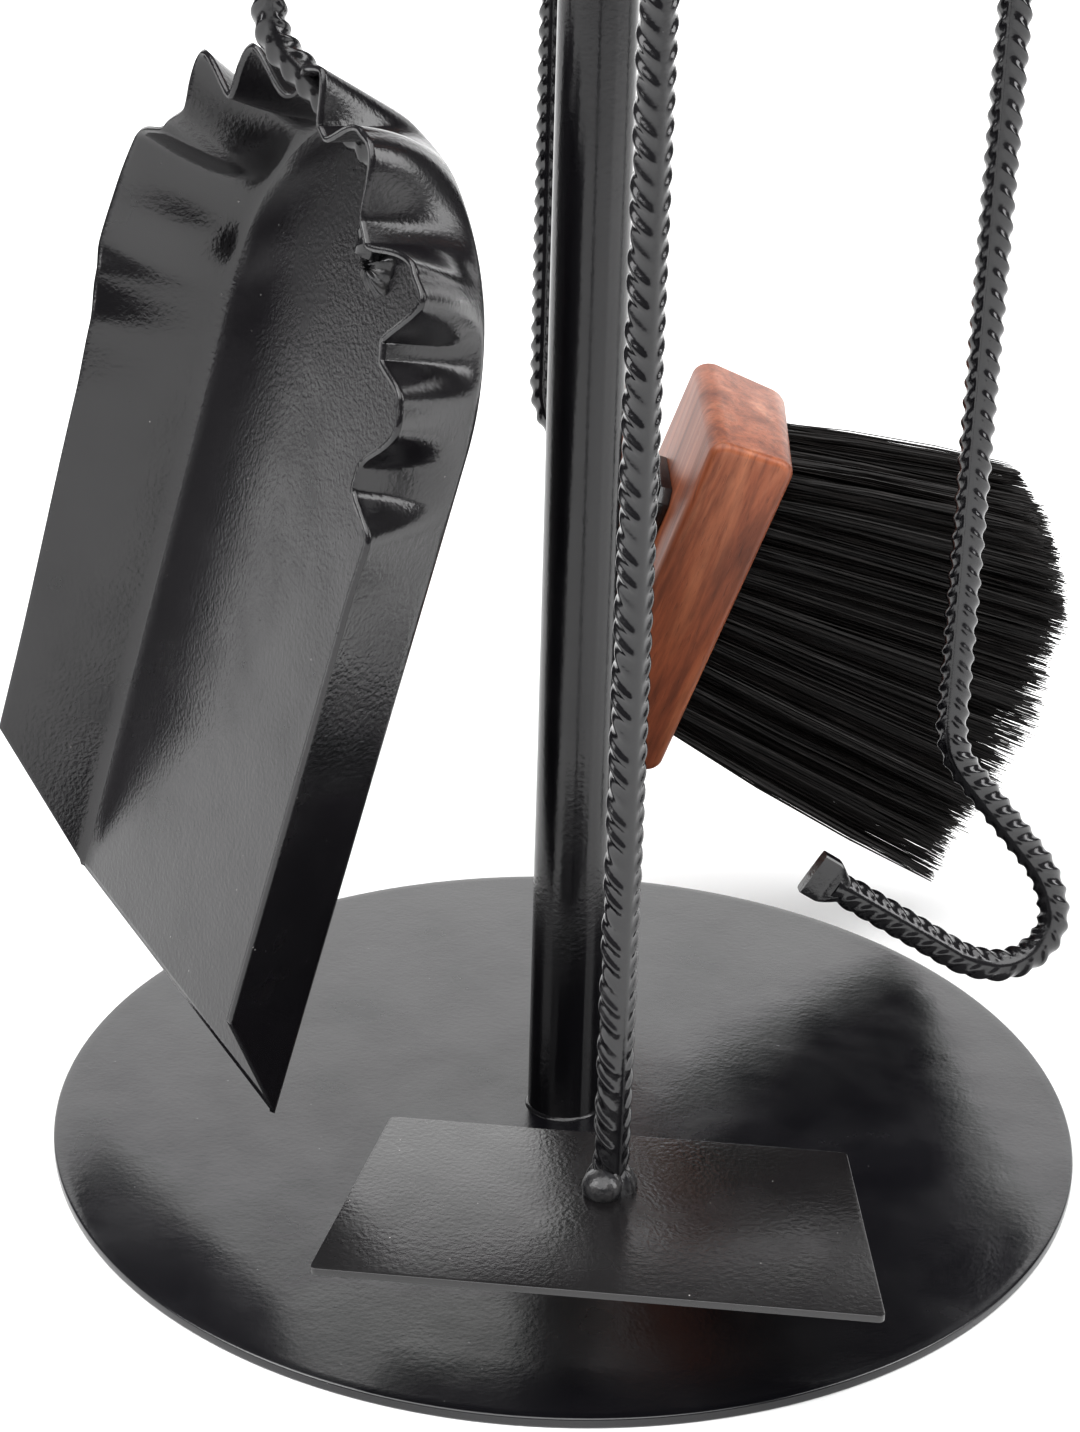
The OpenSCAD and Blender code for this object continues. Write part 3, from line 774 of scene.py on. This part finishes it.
def pan_sheet():
    """Inner surface of the pan, in its own frame: X from the front edge, Y across, Z out of the floor."""
    half = PAN_W / 2 - 1
    # Radius of the fold between floor and side
    fold = 1.3
    columns = pan_columns(half)
    floor_rows, wall_rows = 12, 30
    verts = []
    for (px, py), (nx, ny), angle, s in columns:
        cut = min(1.0, max(0.02, s / PAN_RAKE))
        pleat = (rim_out(angle) - PAN_OUT) * min(1.0, s / PAN_RAKE)
        notch = NOTCH_DEEP * math.exp(-(((angle - NOTCH_AT) / NOTCH_HALF) ** 2))
        rise = PAN_H * cut - notch + 0.06 * min(0.0, pleat)
        for t in np.linspace(0, 1, floor_rows, endpoint=False):
            inward = -(half - fold) * (1 - t) - fold
            verts.append((px + nx * inward, py + ny * inward, 0.0))
        for k in range(wall_rows + 1):
            v = (k / wall_rows) ** 1.35
            dent = sum(d * math.exp(-(((angle - a) / w) ** 2)) for a, w, d in DENTS) * math.sin(math.pi * v)
            flare = PAN_OUT * cut * v + pleat * v ** 1.5
            out = flare - dent - fold * math.exp(-v * rise / 0.9)
            verts.append((px + nx * out, py + ny * out, rise * v))
    return verts, grid_faces(len(columns), floor_rows + wall_rows + 1, False)


def shovel():
    """The bent bar, the crimped pan and the bead that joins them."""
    verts, faces = ribbed_bar(leg_path(SHOVEL_LEGS), math.radians(-70), (3, 4))
    piece("shovel_bar", verts, faces, "shovel", BAR_COAT, ["shovel_shaft"],
          tool_frame("shovel") @ Matrix.Rotation(SHOVEL_TURN, 4, "Z"))
    upright = Matrix.Rotation(PAN_LEAN - math.pi / 2, 4, "Y")
    on_pan = Matrix.Translation(PAN_FRONT) @ upright @ Matrix.Rotation(PAN_ROLL, 4, "X")
    verts, faces = pan_sheet()
    pan = piece("shovel_sheet", verts, faces, "shovel", SHEET_COAT, ["shovel_pan"], on_pan,
                sharp=50)
    bm = bmesh.new()
    bm.from_mesh(pan.data)
    bmesh.ops.remove_doubles(bm, verts=bm.verts, dist=0.02 * MM)
    bm.to_mesh(pan.data)
    bm.free()
    shell = pan.modifiers.new("thickness", "SOLIDIFY")
    shell.thickness = PAN_T * MM
    shell.offset = -1
    verts, faces = lumpy_bead(2.0, 6.0, 3.6, 96, 21, 11)
    piece("shovel_bead", verts, faces, "shovel", WELD, ["shovel_weld"],
          on_pan @ Matrix.Translation((*PAN_WELD, 0)))


# ---------- the rest of the CAD nodes ----------


def dress_nodes():
    """Give the CAD nodes their materials, for those that no piece replaces."""
    for name, node in frame["nodes"].items():
        if name in ("collar_set_screws", "knob_stud", "brush_screws"):
            material = PLATED
        elif name == "post_plug":
            material = PLASTIC
        elif name == "arm_welds":
            material = WELD
        else:
            material = BAR_COAT
        node.data.materials.clear()
        node.data.materials.append(material)


# ---------- studio ----------


def soft_box(name, place, size, power):
    """A rectangular soft light that faces the middle of the object."""
    data = bpy.data.lights.new(name, "AREA")
    data.shape = "RECTANGLE"
    data.size, data.size_y = size
    data.energy = power
    light = bpy.data.objects.new(name, data)
    light.location = place
    light.rotation_euler = (Vector((0, 0, 0.25)) - Vector(place)).to_track_quat("-Z", "Y").to_euler()
    bpy.context.scene.collection.objects.link(light)


def studio():
    """A pale matte floor under a broad overhead light, with a soft panel behind and one on each side."""
    size = 6
    floor_mesh = bpy.data.meshes.new("floor")
    corners = [(-size, -size, 0), (size, -size, 0), (size, size, 0), (-size, size, 0)]
    floor_mesh.from_pydata(corners, [], [(0, 1, 2, 3)])
    n = Nodes("floor_paint")
    n.finish(Base_Color=n.ramp(n.noise(3, 2), (0.3, 0.86), (0.7, 0.9)), Roughness=0.9)
    floor_mesh.materials.append(n.material)
    floor = bpy.data.objects.new("floor", floor_mesh)
    bpy.context.scene.collection.objects.link(floor)
    world = bpy.data.worlds.new("studio")
    bpy.context.scene.world = world
    world.use_nodes = True
    world.node_tree.nodes["Background"].inputs[0].default_value = (1, 1, 1, 1)
    world.node_tree.nodes["Background"].inputs[1].default_value = 0.16
    soft_box("back_panel", (0, 2.7, 1.0), (5.5, 2.0), 55)
    soft_box("left_box", (-1.5, -0.7, 1.2), (1.0, 1.4), 16)
    soft_box("right_box", (1.5, -0.3, 1.1), (0.7, 1.4), 14)
    overhead = bpy.data.lights.new("sky_light", "SUN")
    overhead.energy = 3.8
    overhead.angle = math.radians(80)
    lamp = bpy.data.objects.new("sky_light", overhead)
    lamp.rotation_euler = (math.radians(22), math.radians(-8), 0)
    bpy.context.scene.collection.objects.link(lamp)
    bpy.context.scene.view_settings.view_transform = "Standard"
    bpy.context.scene.view_settings.look = "Medium High Contrast"


dress_nodes()
round_plate()
post_tube()
post_weld()
turned_knob()
for tool_name in HANGS:
    turned_grip(tool_name)
poker()
rake()
brush()
shovel()
studio()
